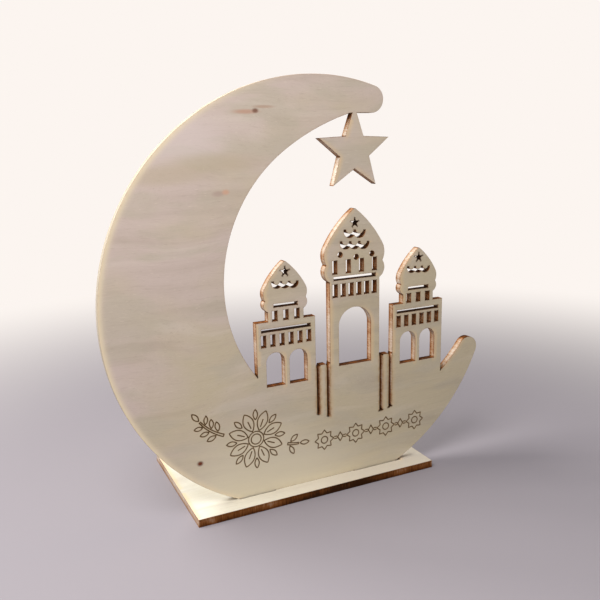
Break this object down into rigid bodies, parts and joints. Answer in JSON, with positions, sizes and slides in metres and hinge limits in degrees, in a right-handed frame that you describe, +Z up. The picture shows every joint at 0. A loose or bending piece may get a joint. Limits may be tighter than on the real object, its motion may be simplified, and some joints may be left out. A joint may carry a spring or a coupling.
{
  "type": "crescent moon ornament",
  "caption": "Standing wooden crescent with onion-domed towers and a hanging star cut from one thin panel, whose tabs lift out of slots in a flat base plate.",
  "frame": {"origin": "on the table, below the middle of the crescent's disc and the middle of the panel's thickness", "axes": "+X to the right as the scored front is seen, +Y from the panel's front to its back, +Z up"},
  "size_m": [0.1544, 0.06, 0.1551],
  "materials": {
    "panel_plywood": "sanded pale plywood with laser-browned edges",
    "base_plywood": "sanded pale plywood with laser-browned edges"
  },
  "bodies": {
    "base": {"base_plate": "base_plywood"},
    "panel": {"crescent_panel": "panel_plywood"}
  },
  "joints": [
    {"name": "panel_lift", "type": "slide", "parent": "base", "child": "panel", "axis": [0, 0, 1], "range_m": [0, 0.006]}
  ]
}
